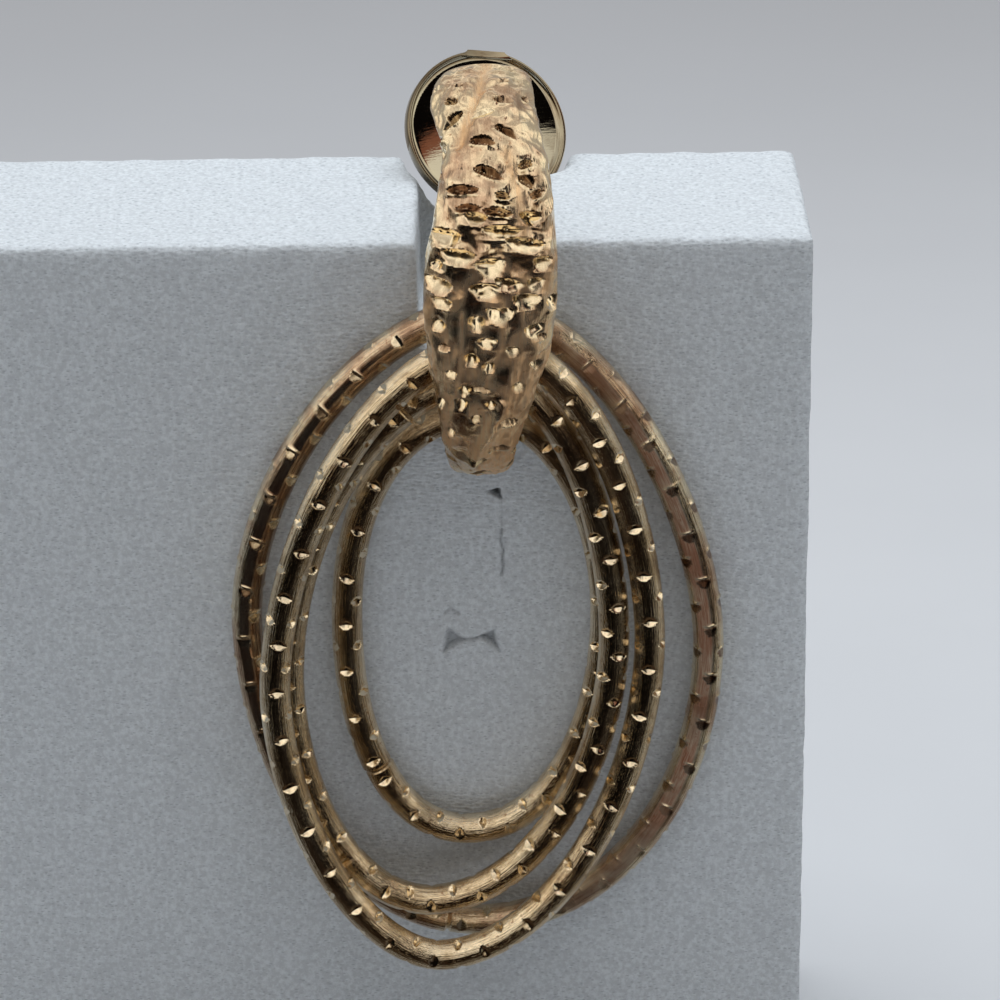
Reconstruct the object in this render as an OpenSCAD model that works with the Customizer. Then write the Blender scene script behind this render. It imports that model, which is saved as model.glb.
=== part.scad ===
/* [Display block] */
// Width of the foam block, side to side
block_w = 58; // [54:1:80]
// Thickness of the foam block, front to back
block_d = 18; // [18:0.5:24]
// Height of the foam block
block_h = 62; // [58:1:90]
// Distance of the earring's middle from the block's right side
side_gap = 20.6; // [19:0.2:24]
// Half width of the cut in the block's top, where it is widest
cut_half = 4.2; // [3.2:0.1:4.4]
// Depth of the thin slit under the cut, from the block's top
slit_depth = 23.2; // [18:0.2:30]

/* [Front band] */
// Height of the band above the block's top
band_rise = 11.35; // [11:0.05:11.7]
// How far the band reaches below the block's top
band_drop = 14.85; // [14.7:0.05:15]
// How far the band bulges in front of the block
band_bulge = 9.8; // [9.6:0.1:11]
// Height of the band's arch across its width
band_arch = 2; // [1.8:0.05:2.1]
// Thickness of the band's metal
band_wall = 0.9; // [0.8:0.05:1]

/* [Clip] */
// Radius of the round clip paddle
pad_r = 5.45; // [5.2:0.05:5.6]
// Thickness of the paddle's metal
pad_wall = 0.7; // [0.6:0.05:0.8]
// Distance from the hinge to the paddle's centre
pad_reach = 17.5; // [17:0.1:17.8]
// Angle at which the paddle leans back from the vertical
pad_lean = 35; // [33:0.5:36]
// Twist of the round pad about its own neck
pad_twist = 16; // [10:0.5:18]
// Radius of the hinge pin
pin_r = 0.4; // [0.35:0.01:0.42]
// Running gap between the pin and the paddle's knuckle
pin_gap = 0.05; // [0.03:0.01:0.08]
// Angle to which the paddle opens from rest, which the block leaves room for
open_angle = 50; // [20:1:50]

/* [Rings] */
// Diameter of the ring tube
tube_d = 2; // [1.8:0.02:2]

/* [Hidden] */

GOLD = [0.74, 0.63, 0.43];
COPPER = [0.66, 0.49, 0.36];
PALE_GOLD = [0.76, 0.71, 0.60];
FOAM = [0.70, 0.71, 0.74];

round_fn = 64;
past = 1;

// The earring is drawn from a point on the block's top front edge:
// x to the right of the earring's middle, y behind the block's face,
// z above the block's top
ear_x = block_w / 2 - side_gap;
face_y = -block_d / 2;

// Hinge axis, which the paddle's reach and lean put below the pad
pad_y = 15.3;
pad_z = 2.35;
hinge_y = pad_y - pad_reach * sin(pad_lean);
hinge_z = pad_z - pad_reach * cos(pad_lean);

// Closed ovals of the ring tubes. Each has four outermost points, given as
// [x, y, z], and a roundness for each corner between them, where 2 is an
// ellipse and less is straighter
TOP = 0;
LEFT = 1;
BOTTOM = 2;
RIGHT = 3;
ROUNDNESS = 4;
//               top             left                 bottom              right               roundness
SMALL  = [[-0.4, -1.3, -11.0], [-9.4, -1.3, -26.0], [-1.7, -1.3, -40.7], [7.4, -1.3, -24.8],
          [2.2, 2.15, 2.05, 1.95]];
MEDIUM = [[0.0, -3.4, -7.6], [-13.2, -3.4, -28.6], [-4.3, -3.4, -44.9], [7.9, -3.4, -25.7],
          [1.85, 2.0, 1.9, 1.85]];
LARGE  = [[0.2, -5.0, -4.9], [-14.0, -5.5, -28.6], [-3.7, -5.0, -48.2], [10.2, -3.5, -26.0],
          [1.75, 1.8, 1.85, 1.8]];
OUTER  = [[0.0, -1.3, -4.0], [-15.9, -1.3, -25.2], [-1.4, -1.3, -47.6], [14.1, -1.3, -27.2],
          [1.75, 1.95, 2.05, 1.7]];
tube_sides = 12;
tube_steps = 64;

// Band outline from the front. Each row is a station along the band, from
// 0 at its top end to 1 at its foot: [station, middle x, half width, arch]
BAND = [
  [0.00, 0.09, 2.78, 0.50],
  [0.05, -0.05, 3.12, 0.65],
  [0.10, -0.09, 3.23, 0.80],
  [0.15, 0.18, 3.18, 0.85],
  [0.20, 0.49, 3.09, 0.90],
  [0.25, 0.65, 3.27, 0.90],
  [0.30, 0.60, 3.48, 0.95],
  [0.36, 0.52, 3.70, 1.00],
  [0.44, 0.33, 4.05, 1.00],
  [0.52, 0.23, 4.12, 1.00],
  [0.60, 0.09, 3.81, 1.00],
  [0.68, -0.16, 3.11, 0.95],
  [0.76, -0.40, 2.59, 0.85],
  [0.84, -0.53, 2.23, 0.75],
  [0.92, -0.53, 2.08, 0.65],
  [1.00, -0.53, 2.12, 0.60]
];
band_steps = 32;
band_cuts = 10;
band_sweep = 85;
band_tip_y = 1;
band_foot_y = -1.5;

// Hinge bracket, soldered inside the band's foot
strap_half = 1.15;
strap_front = -2.9;
strap_top = -12.5;
strap_low = -14;
knuckle_r = 1.2;
knuckle_half = 0.85;
ear_in = 0.95;
ear_out = 1.6;
ear_r = 1.45;
seat_gap = 0.02;
head_r = 0.65;
head_t = 0.18;

// Paddle details
neck_half = 1.5;
rim_w = 0.35;
rim_h = 0.25;
lip_half = 1.4;
lip_h = 0.42;
dish_depth = 0.35;

// Room that the foam leaves around the metal, and the narrow part of its cut
foam_gap = 0.3;
slot_half = 2.15;
slot_left = 4.4;
slit_x = 0.6;

// Point between two table rows, for a value in column 0
function row_mix(t, i = 0) =
  i >= len(BAND) - 2 || t <= BAND[i + 1][0]
    ? let (a = BAND[i], b = BAND[i + 1], k = ease((t - a[0]) / (b[0] - a[0])))
      a + (b - a) * k
    : row_mix(t, i + 1);
function ease(k) = k * k * (3 - 2 * k) * 0.5 + k * 0.5;

// Crest of the band seen from the side, as [y, z]: an arc from the tip over
// the bulge, and a second arc from the bulge under the rings
function crest(t) =
  t < 0.5
    ? let (q = 180 * t)
      [-band_bulge + (band_bulge + band_tip_y) * (1 - sin(q)), band_rise * cos(q)]
    : let (q = 180 * (t - 0.5))
      [-band_bulge + (band_bulge + band_foot_y) * (1 - cos(q)), -band_drop * sin(q)];
function crest_in(t) =
  let (a = crest(max(t - 0.01, 0)), b = crest(min(t + 0.01, 1)), v = (b - a) / norm(b - a))
  [-v[1], v[0]];

// One point of the band's cross-section: face 0 is outside, face 1 inside
function band_point(t, angle, face) =
  let (
    row = row_mix(t),
    arch = band_arch * row[3],
    c = crest(t),
    n = crest_in(t),
    half = row[2] - face * band_wall * 0.85,
    rise = face * band_wall + max(arch - face * band_wall, 0.12) * (1 - cos(angle))
  )
  [row[1] + half * sin(angle), c[0] + n[0] * rise, c[1] + n[1] * rise];
function band_loop(t) = concat(
  [for (i = [0:band_cuts]) band_point(t, band_sweep * (2 * i / band_cuts - 1), 0)],
  [for (i = [band_cuts:-1:0]) band_point(t, band_sweep * (2 * i / band_cuts - 1), 1)]
);

// Point of a ring's centre line at an angle that runs from the top, over the
// left side, to the bottom and back
function ring_point(ring, angle) =
  let (
    k = floor(angle / 90) % 4,
    q = angle - 90 * floor(angle / 90),
    n = ring[ROUNDNESS][k],
    reach = pow(pow(sin(q), n) + pow(cos(q), n), -1 / n),
    a = ring[k],
    b = ring[(k + 1) % 4],
    y = a[1] + (b[1] - a[1]) * pow(sin(q), 2)
  )
  k % 2 == 0
    ? [a[0] + (b[0] - a[0]) * reach * sin(q), y, b[2] + (a[2] - b[2]) * reach * cos(q)]
    : [b[0] + (a[0] - b[0]) * reach * cos(q), y, a[2] + (b[2] - a[2]) * reach * sin(q)];
function ring_loop(ring, angle) =
  let (
    c = ring_point(ring, angle),
    ahead = ring_point(ring, (angle + 0.5) % 360) - ring_point(ring, (angle + 359.5) % 360),
    v = ahead / norm(ahead),
    side_raw = cross(v, [0, 1, 0]),
    side = side_raw / norm(side_raw),
    out = cross(side, v)
  )
  [for (i = [0:tube_sides - 1])
    let (w = 360 * i / tube_sides)
    c + tube_d / 2 * (cos(w) * side + sin(w) * out)];

// Two triangles for each face between neighbouring loops of points
function skin(loops, size, closed) =
  [for (j = [0:loops - (closed ? 1 : 2)]) for (i = [0:size - 1])
    let (
      a = j * size + i,
      b = j * size + (i + 1) % size,
      c = ((j + 1) % loops) * size + (i + 1) % size,
      d = ((j + 1) % loops) * size + i
    )
    each [[a, b, c], [a, c, d]]];

// Flat end of the band: pairs of points of the outer and inner curve
function band_end(first) =
  [for (i = [0:band_cuts - 1])
    let (a = first + i, b = first + i + 1, c = first + 2 * band_cuts - i, d = c + 1)
    each [[a, b, c], [a, c, d]]];
function flipped(faces) = [for (f = faces) [f[2], f[1], f[0]]];

// Moves the earring's pieces to their place on the block
module on_block() {
  translate([ear_x, face_y, block_h])
    children();
}

module at_hinge() {
  translate([0, hinge_y, hinge_z])
    rotate([-pad_lean, 0, 0])
      children();
}

module ring_tube(ring, paint) {
  color(paint)
    on_block()
      polyhedron(
        points = [for (j = [0:tube_steps - 1]) each ring_loop(ring, 360 * j / tube_steps)],
        faces = skin(tube_steps, tube_sides, true),
        convexity = 6
      );
}

module ring_small() {
  ring_tube(SMALL, GOLD);
}

module ring_medium() {
  ring_tube(MEDIUM, GOLD);
}

module ring_large() {
  ring_tube(LARGE, GOLD);
}

module ring_outer() {
  ring_tube(OUTER, COPPER);
}

// Curved shell of the band, open at its back
module band_shell() {
  size = 2 * band_cuts + 2;
  polyhedron(
    points = [for (j = [0:band_steps]) each band_loop(j / band_steps)],
    faces = concat(
      skin(band_steps + 1, size, false),
      flipped(band_end(0)),
      band_end(band_steps * size)
    ),
    convexity = 8
  );
}

// Outline of one bracket ear, from the strap to the pin
module ear_outline() {
  difference() {
    union() {
      translate([hinge_y, hinge_z])
        circle(r = ear_r, $fn = round_fn);
      polygon([
        [hinge_y - 3.2, strap_low],
        [hinge_y + 0.4, strap_low],
        [hinge_y + 0.6, hinge_z],
        [hinge_y - 1.2, hinge_z + 0.8],
        [hinge_y - 3.2, strap_top]
      ]);
    }
    translate([hinge_y, hinge_z])
      circle(r = pin_r + seat_gap, $fn = round_fn);
  }
}

module side_plate(from, thick) {
  translate([from + thick, 0, 0])
    rotate([90, 0, -90])
      mirror([1, 0, 0])
        linear_extrude(thick)
          children();
}

module hinge_bracket() {
  strap_end = hinge_y - knuckle_r - 0.2;
  translate([-strap_half, strap_front, strap_low])
    cube([2 * strap_half, strap_end - strap_front, strap_top - strap_low]);
  side_plate(ear_in, ear_out - ear_in)
    ear_outline();
  side_plate(-ear_out, ear_out - ear_in)
    ear_outline();
}

module front_band() {
  color(GOLD)
    on_block()
      union() {
        band_shell();
        hinge_bracket();
      }
}

module hinge_pin() {
  color(GOLD)
    on_block()
      translate([0, hinge_y, hinge_z])
        rotate([0, 90, 0]) {
          cylinder(r = pin_r, h = 2 * ear_out + 2 * seat_gap, center = true, $fn = round_fn);
          for (side = [-1, 1])
            translate([0, 0, side * (ear_out + seat_gap + head_t / 2)])
              cylinder(r = head_r, h = head_t, center = true, $fn = round_fn);
        }
}

// Round pad with a raised rim and a shallow dish in its front
module pad_dish() {
  rotate([90, 0, 0])
    rotate_extrude($fn = round_fn)
      polygon([
        [0, -pad_wall / 2],
        [pad_r, -pad_wall / 2],
        [pad_r, pad_wall / 2 + rim_h],
        [pad_r - rim_w, pad_wall / 2 + rim_h],
        [pad_r - rim_w - 0.4, pad_wall / 2 - 0.02],
        [pad_r * 0.5, pad_wall / 2 - dish_depth * 0.75],
        [0, pad_wall / 2 - dish_depth]
      ]);
}

module clip_paddle() {
  color(PALE_GOLD)
    on_block()
      at_hinge() {
        difference() {
          union() {
            rotate([0, 90, 0])
              cylinder(r = knuckle_r, h = 2 * knuckle_half, center = true, $fn = round_fn);
            translate([-knuckle_half, -pad_wall / 2, 0])
              cube([2 * knuckle_half, pad_wall, 3]);
          }
          rotate([0, 90, 0])
            cylinder(r = pin_r + pin_gap, h = 4 * knuckle_half, center = true, $fn = round_fn);
        }
        translate([-neck_half, -pad_wall / 2, 2.2])
          cube([2 * neck_half, pad_wall, pad_reach - pad_r - 1.4]);
        translate([0, 0, pad_reach])
          rotate([0, 0, pad_twist]) {
            pad_dish();
            translate([-lip_half, -pad_wall / 2 - rim_h, pad_r - 0.45])
              cube([2 * lip_half, pad_wall + rim_h, lip_h]);
          }
      }
}

// Cut in the block that the clip goes through, with the thin slit under it
module block_cut() {
  translate([0, 0, -7])
    linear_extrude(7 + past)
      polygon([
        [-slot_left, -past], [slot_half, -past],
        [cut_half, pad_y - 2], [-slot_left, pad_y - 2]
      ]);
  translate([0, pad_y - 1, 0])
    rotate([90, 0, 0])
      linear_extrude(pad_y)
        polygon([
          [-slot_half, -6], [-slot_half, strap_low - 0.4],
          [slit_x - 0.1, strap_low - 0.9], [slit_x - 0.07, -slit_depth],
          [slit_x + 0.07, -slit_depth], [slit_x + 0.1, strap_low - 0.9],
          [slot_half, strap_low - 0.4], [slot_half, -6]
        ]);
}

// Room for the pad at rest and as it opens: a ring about the hinge, whose
// front wall follows the twisted pad
module pad_room() {
  front = pad_wall / 2 + rim_h + foam_gap;
  at_hinge()
    intersection() {
      rotate([0, -90, 0])
        rotate([0, 0, -10])
          rotate_extrude(angle = open_angle + 24, $fn = round_fn)
            translate([pad_reach, 0])
              scale([1, (pad_r * cos(pad_twist) + foam_gap) / (pad_r + foam_gap)])
                circle(r = pad_r + foam_gap, $fn = round_fn);
      translate([0, 0, pad_reach])
        rotate([0, 0, pad_twist])
          translate([-18, -front, -60])
            cube([36, 60, 80]);
    }
}

// Channel for the neck and the hinge
module neck_room() {
  far = 2 * block_d;
  edge = open_angle + 14;
  at_hinge() {
    side_plate(-neck_half - foam_gap, 2 * (neck_half + foam_gap))
      polygon([
        [-pad_wall / 2 - foam_gap, 0],
        [-pad_wall / 2 - foam_gap, far],
        [far * sin(edge / 2), far],
        [far * sin(edge), far * cos(edge)],
        [0, -knuckle_r - foam_gap]
      ]);
    rotate([0, 90, 0])
      cylinder(r = ear_r + foam_gap + 0.2, h = 4.2, center = true, $fn = round_fn);
  }
}

module display_block() {
  color(FOAM)
    difference() {
      translate([-block_w / 2, -block_d / 2, 0])
        cube([block_w, block_d, block_h]);
      on_block() {
        block_cut();
        pad_room();
        neck_room();
      }
    }
}

display_block();
front_band();
hinge_pin();
clip_paddle();
ring_small();
ring_medium();
ring_large();
ring_outer();
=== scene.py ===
import math

import bmesh
import bpy
import numpy as np
from mathutils import Matrix, Vector


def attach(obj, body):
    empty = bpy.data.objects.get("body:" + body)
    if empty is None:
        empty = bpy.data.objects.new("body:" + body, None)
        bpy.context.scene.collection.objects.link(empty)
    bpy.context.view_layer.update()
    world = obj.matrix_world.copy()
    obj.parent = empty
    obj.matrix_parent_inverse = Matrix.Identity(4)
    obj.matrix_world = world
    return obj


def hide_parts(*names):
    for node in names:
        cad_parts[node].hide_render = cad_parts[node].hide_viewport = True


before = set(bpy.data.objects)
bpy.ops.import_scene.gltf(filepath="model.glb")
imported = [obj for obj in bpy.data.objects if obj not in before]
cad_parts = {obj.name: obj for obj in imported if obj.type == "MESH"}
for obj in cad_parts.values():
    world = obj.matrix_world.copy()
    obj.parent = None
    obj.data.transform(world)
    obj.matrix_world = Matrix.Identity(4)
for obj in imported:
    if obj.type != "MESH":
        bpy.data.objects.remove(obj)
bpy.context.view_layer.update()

MM = 0.001
# The earring is made in millimetres from this point on the block's top front
# edge, which is given in the frame: x to the right, y to the back, z up
EAR = np.array([8.4, -9.0, 62.0])

# Camera

PICTURE = 1000  # the picture's width and height in pixels
SENSOR = 36
# The point that the camera looks at, how far down it looks and how far it
# leans, and its lens and distance
TARGET = np.array([9.05, -9.0, 44.4])
LOOK_DOWN, ROLL = math.radians(23), math.radians(0.8)
LENS_PIXELS, CAMERA_REACH = 4030, 260
look = np.array([0, math.cos(LOOK_DOWN), -math.sin(LOOK_DOWN)])
level = np.array([1.0, 0, 0])
lift = np.cross(level, look)
cam_right = level * math.cos(ROLL) - lift * math.sin(ROLL)
cam_up = lift * math.cos(ROLL) + level * math.sin(ROLL)
cam_place = TARGET - look * CAMERA_REACH


def seen_at(points):
    """Where points of the earring lie in the picture, in pixels."""
    p = points + EAR - cam_place
    far = p @ look
    across, down = LENS_PIXELS * (p @ cam_right) / far, LENS_PIXELS * (p @ cam_up) / far
    return np.stack([PICTURE / 2 + across, PICTURE / 2 - down], axis=1)


def make_camera():
    cam = bpy.data.cameras.new("camera")
    cam.lens = LENS_PIXELS * SENSOR / PICTURE
    cam.sensor_width = SENSOR
    cam.clip_start = 0.01
    cam.clip_end = 20
    holder = bpy.data.objects.new("camera", cam)
    turn = Matrix((cam_right, cam_up, -look)).transposed().to_4x4()
    holder.matrix_world = Matrix.Translation(Vector(cam_place) * MM) @ turn
    bpy.context.scene.collection.objects.link(holder)
    bpy.context.scene.camera = holder


# Mesh tools

WAVES = 9


def wander(points, size, seed):
    """Smooth unevenness between about -1 and 1, in lumps of that size."""
    dice = np.random.RandomState(seed)
    total = np.zeros(len(points))
    for _ in range(WAVES):
        way = dice.normal(size=3)
        way *= 2 * math.pi / (size * dice.uniform(0.7, 1.6) * np.linalg.norm(way))
        total += np.sin(points @ way + dice.uniform(0, 6.283))
    return total / math.sqrt(WAVES)


def flat_grid(name, across, along):
    """A grid mesh, and for each vertex its step across and along."""
    bm = bmesh.new()
    bmesh.ops.create_grid(bm, x_segments=across, y_segments=along, size=1)
    mesh = bpy.data.meshes.new(name)
    bm.to_mesh(mesh)
    bm.free()
    co = places(mesh)
    return (
        mesh,
        np.rint((co[:, 0] + 1) / 2 * across).astype(int),
        np.rint((co[:, 1] + 1) / 2 * along).astype(int),
    )


def places(mesh):
    co = np.empty(len(mesh.vertices) * 3)
    mesh.vertices.foreach_get("co", co)
    return co.reshape(-1, 3)


def put(mesh, points):
    mesh.vertices.foreach_set("co", np.ascontiguousarray(points, float).ravel())
    mesh.update()


def note(mesh, name, values):
    """Keeps a number or a vector for each vertex, for the material to read."""
    wide = values.ndim == 2
    layer = mesh.attributes.new(name, "FLOAT_VECTOR" if wide else "FLOAT", "POINT")
    layer.data.foreach_set("vector" if wide else "value", values.astype(np.float32).ravel())


def edges_at(verts):
    """The edges that meet some vertices, each once."""
    return list(dict.fromkeys(e for v in verts for e in v.link_edges))


def finish_mesh(bm, mesh, sharp, outward=True):
    """Shades it smooth, apart from edges that turn more than that many degrees."""
    if outward:
        bmesh.ops.recalc_face_normals(bm, faces=bm.faces[:])
    bm.to_mesh(mesh)
    bm.free()
    mesh.shade_smooth()
    mesh.set_sharp_from_angle(angle=math.radians(sharp))
    mesh.update()
    return mesh


def add_piece(name, mesh, body, slot, finish, *nodes):
    thing = bpy.data.objects.new(name, mesh)
    bpy.context.scene.collection.objects.link(thing)
    mesh.materials.clear()
    mesh.materials.append(finish)
    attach(thing, body)
    if nodes:
        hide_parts(*nodes)
    return thing


# Materials


def start_finish(name):
    finish = bpy.data.materials.new(name)
    finish.use_nodes = True
    tree = finish.node_tree
    tree.nodes.clear()
    out = tree.nodes.new("ShaderNodeOutputMaterial")
    shader = tree.nodes.new("ShaderNodeBsdfPrincipled")
    tree.links.new(shader.outputs[0], out.inputs[0])
    return finish, tree, shader


def add_node(tree, kind, links=(), **settings):
    """A node; links are (input, value or output socket) pairs."""
    made = tree.nodes.new("ShaderNode" + kind)
    for key, value in settings.items():
        setattr(made, key, value)
    for key, value in links:
        if isinstance(value, bpy.types.NodeSocket):
            tree.links.new(value, made.inputs[key])
        else:
            made.inputs[key].default_value = value
    return made


def maths(tree, how, *values, clamp=False):
    made = add_node(tree, "Math", list(enumerate(values)), operation=how, use_clamp=clamp)
    return made.outputs[0]


def noted(tree, name):
    """What note() kept under that name, as a number."""
    return add_node(tree, "Attribute", attribute_name=name).outputs["Fac"]


def raised(tree, strength, distance, height, below=None):
    """A Bump node's normal; below is the normal that it adds to."""
    links = [("Strength", strength), ("Distance", distance), ("Height", height)]
    if below is not None:
        links.append(("Normal", below))
    return add_node(tree, "Bump", links).outputs[0]


def mottle(tree, where, scale, detail=4.0, rough=0.55, warp=0.0):
    links = [("Vector", where), ("Scale", scale), ("Detail", detail)]
    links += [("Roughness", rough), ("Distortion", warp)]
    return add_node(tree, "TexNoise", links).outputs["Fac"]


def spread(tree, value, low, high, to_low=0.0, to_high=1.0):
    """Eases from to_low, where value is low, to to_high, where it is high."""
    return add_node(
        tree,
        "MapRange",
        [(0, value), (1, low), (2, high), (3, to_low), (4, to_high)],
        interpolation_type="SMOOTHSTEP",
    ).outputs[0]


def blend_colours(tree, share, first, second):
    made = tree.nodes.new("ShaderNodeMix")
    made.data_type = "RGBA"
    for key, value in ((0, share), (6, first), (7, second)):
        if isinstance(value, bpy.types.NodeSocket):
            tree.links.new(value, made.inputs[key])
        elif key:
            made.inputs[key].default_value = (*value, 1)
        else:
            made.inputs[key].default_value = value
    return made.outputs[2]


def worked_metal(name, bright, warm, patina, rust, bronze, gloss, streak_scale=1.0, skin_share=0.0):
    """Old gold-tone metal, read from its mesh's notes: bright bare metal where cut is
    above 0, with painted highlights on some burrs, painted shade where it is below, and a dull
    bronze skin where matte is 1."""
    finish, tree, shader = start_finish(name)
    grain = add_node(tree, "Attribute", attribute_name="grain").outputs["Vector"]
    here = add_node(tree, "TexCoord").outputs["Object"]
    cut, matte = noted(tree, "cut"), noted(tree, "matte")

    # lengthwise streaks follow the drawn tube, blotches don't
    streaks = mottle(tree, grain, 5.0 * streak_scale, 5, 0.6)
    fine = mottle(tree, grain, 16.0 * streak_scale, 3, 0.6)
    blotch = mottle(tree, here, 330, 5, 0.6, 0.4)
    speck = mottle(tree, here, 2600, 4, 0.7)
    worn = maths(tree, "ADD", blotch, streaks)

    tone = blend_colours(tree, spread(tree, blotch, 0.35, 0.65), bright, warm)
    tone = blend_colours(tree, spread(tree, worn, 0.98, 1.28, 0, 0.5), tone, patina)
    skin = maths(tree, "MULTIPLY", matte, spread(tree, fine, 0.35, 0.6, 0.6, 1.0))
    tone = blend_colours(tree, skin, tone, bronze)
    tone = blend_colours(tree, spread(tree, speck, 0.58, 0.72, 0, 0.7), tone, rust)
    # painted shade: where cut is below 0 the colour is darkened towards patina
    cut_painted_shade = maths(tree, "MULTIPLY", cut, spread(tree, fine, 0.35, 0.6, -1.05, -0.6), clamp=True)
    tone = blend_colours(tree, cut_painted_shade, tone, patina)
    # bright bare metal where cut is above 0, and painted highlights on the burrs
    bare_and_highlight = maths(tree, "MULTIPLY", cut, 0.85, clamp=True)
    tone = blend_colours(tree, bare_and_highlight, tone, bright)
    tree.links.new(tone, shader.inputs["Base Color"])
    shader.inputs["Metallic"].default_value = 1.0
    if skin_share:
        # the skin is less of a mirror than bare metal
        bare = maths(tree, "MULTIPLY_ADD", matte, -skin_share, 1.0)
        tree.links.new(bare, shader.inputs["Metallic"])
    rough = spread(tree, worn, 0.8, 1.25, gloss[0], gloss[1])
    tree.links.new(maths(tree, "MULTIPLY_ADD", matte, 0.22, rough), shader.inputs["Roughness"])

    # the cuts are smooth, without the surface's streaks
    calm = maths(tree, "ABSOLUTE", cut)
    normal = raised(tree, spread(tree, calm, 0.0, 0.8, 0.7, 0.1), 0.00009, streaks)
    normal = raised(tree, spread(tree, calm, 0.0, 0.8, 0.6, 0.15), 0.00005, fine, normal)
    normal = raised(tree, 0.3, 0.00002, speck, normal)
    tree.links.new(normal, shader.inputs["Normal"])
    return finish


def polished_metal():
    """The paddle's bright mirror, a little scratched, with its rim painted darker as a dark
    reflection.
    """
    finish, tree, shader = start_finish("polished_pale_gold")
    here = add_node(tree, "TexCoord").outputs["Object"]
    long_way = add_node(tree, "Mapping", [("Vector", here), ("Scale", (900, 900, 9000))]).outputs[0]
    scratch = mottle(tree, long_way, 1.0, 3)
    cloud = spread(tree, mottle(tree, here, 260, 3, 0.5, 0.5), 0.4, 0.7)
    tone = blend_colours(tree, cloud, (0.50, 0.46, 0.35), (0.42, 0.35, 0.25))
    # the rim is painted darker, as a dark reflection
    tone = blend_colours(tree, noted(tree, "painted_rim_reflection"), tone, (0.13, 0.095, 0.055))
    tree.links.new(tone, shader.inputs["Base Color"])
    shader.inputs["Metallic"].default_value = 1.0
    tree.links.new(spread(tree, scratch, 0.45, 0.75, 0.03, 0.12), shader.inputs["Roughness"])
    tree.links.new(raised(tree, 0.12, 0.00002, scratch), shader.inputs["Normal"])
    return finish


def foam_finish():
    """White closed-cell foam: small pores with painted shade in their pits, finer grains, and
    painted shade in its cuts.
    """
    finish, tree, shader = start_finish("white_foam")
    here = add_node(tree, "TexCoord").outputs["Object"]
    sideways = add_node(tree, "Mapping", [("Vector", here), ("Scale", (0.7, 0.7, 1.6))]).outputs[0]
    cells = [("Vector", sideways), ("Scale", 2900), ("Randomness", 1.0)]
    pores = add_node(tree, "TexVoronoi", cells).outputs["Distance"]
    grains = mottle(tree, here, 3400, 3, 0.6)
    broad = mottle(tree, here, 260, 4, 0.55)
    pale, white = (0.62, 0.65, 0.675), (0.775, 0.815, 0.845)
    tone = blend_colours(tree, spread(tree, grains, 0.35, 0.7), pale, white)
    # painted shade: the pores are darker in their pits
    tone = blend_colours(tree, spread(tree, pores, 0.05, 0.34, 0.75, 0), tone, (0.42, 0.45, 0.48))
    tone = blend_colours(tree, spread(tree, broad, 0.3, 0.7, 0, 0.10), tone, (0.66, 0.68, 0.73))
    # painted shade in the front face's cuts and dents
    tone = blend_colours(tree, noted(tree, "foam_painted_shade"), tone, (0.03, 0.028, 0.026))
    tree.links.new(tone, shader.inputs["Base Color"])
    shader.inputs["Roughness"].default_value = 0.85
    shader.inputs["Subsurface Weight"].default_value = 0.15
    shader.inputs["Subsurface Radius"].default_value = (0.002, 0.002, 0.002)
    shader.inputs["Subsurface Scale"].default_value = 1.0
    normal = raised(tree, 0.5, 0.00008, grains, raised(tree, 0.6, 0.00012, pores))
    tree.links.new(normal, shader.inputs["Normal"])
    return finish


# Rings

TUBE_R, AROUND = 1.0, 48
# How far a nick reaches along the tube from its middle, and from row to row
NICK_REACH, NICK_PITCH = 0.36, 1.68
LOOP_STEPS, BEND_STEPS = 3600, 40
# Outermost points of each centre line (top, left, bottom, right), the
# roundness of the corners between them, the angle of its butt joint from the
# top, and its seed
RINGS = {
    "ring_small": (
        [[-0.4, -1.3, -11.0], [-9.4, -1.3, -26.0], [-1.7, -1.3, -40.7], [7.4, -1.3, -24.8]],
        [2.2, 2.15, 2.05, 1.95],
        131,
        11,
    ),
    "ring_medium": (
        [[0, -3.4, -7.6], [-13.2, -3.4, -28.6], [-4.3, -3.4, -44.9], [7.9, -3.4, -25.7]],
        [1.85, 2.0, 1.9, 1.85],
        24,
        12,
    ),
    "ring_large": (
        [[0.2, -5.0, -4.9], [-14.0, -5.5, -28.6], [-3.7, -5.0, -48.2], [10.2, -3.5, -26.0]],
        [1.75, 1.8, 1.85, 1.8],
        5,
        13,
    ),
    "ring_outer": (
        [[0, -1.3, -4.0], [-15.9, -1.3, -25.2], [-1.4, -1.3, -47.6], [14.1, -1.3, -27.2]],
        [1.75, 1.95, 2.05, 1.7],
        173,
        14,
    ),
}


def centre_line(corners, roundness, angle):
    """Places on a ring's centre line, at angles counted from its top leftwards."""
    corners, roundness = np.array(corners), np.array(roundness)
    k = (angle // 90).astype(int) % 4
    q = np.radians(angle % 90)
    n = roundness[k]
    sin, cos = np.sin(q), np.clip(np.cos(q), 0, 1)
    reach = (sin**n + cos**n) ** (-1 / n)
    a, b = corners[k], corners[(k + 1) % 4]
    gone = a + (b - a) * reach[:, None] * sin[:, None]
    left = b + (a - b) * reach[:, None] * cos[:, None]
    down = k % 2 == 0
    x = np.where(down, gone[:, 0], left[:, 0])
    y = a[:, 1] + (b[:, 1] - a[:, 1]) * sin**2
    z = np.where(down, left[:, 2], gone[:, 2])
    return np.stack([x, y, z], axis=1)


def wire_loop(corners, roundness, joint):
    """A ring's centre line from its joint all round, and the way run on it."""
    loop = centre_line(corners, roundness, joint + np.arange(LOOP_STEPS) * 360 / LOOP_STEPS)
    # the wire is bent by hand, so its corners are rounded off
    window = np.arange(-BEND_STEPS, BEND_STEPS + 1)
    weight = np.exp(-((window / 18.0) ** 2))
    weight /= weight.sum()
    loop = sum(w * np.roll(loop, i, axis=0) for w, i in zip(weight, window))
    loop = np.vstack([loop, loop[:1]])
    run = np.concatenate([[0], np.cumsum(np.linalg.norm(np.diff(loop, axis=0), axis=1))])
    return loop, run


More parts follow.
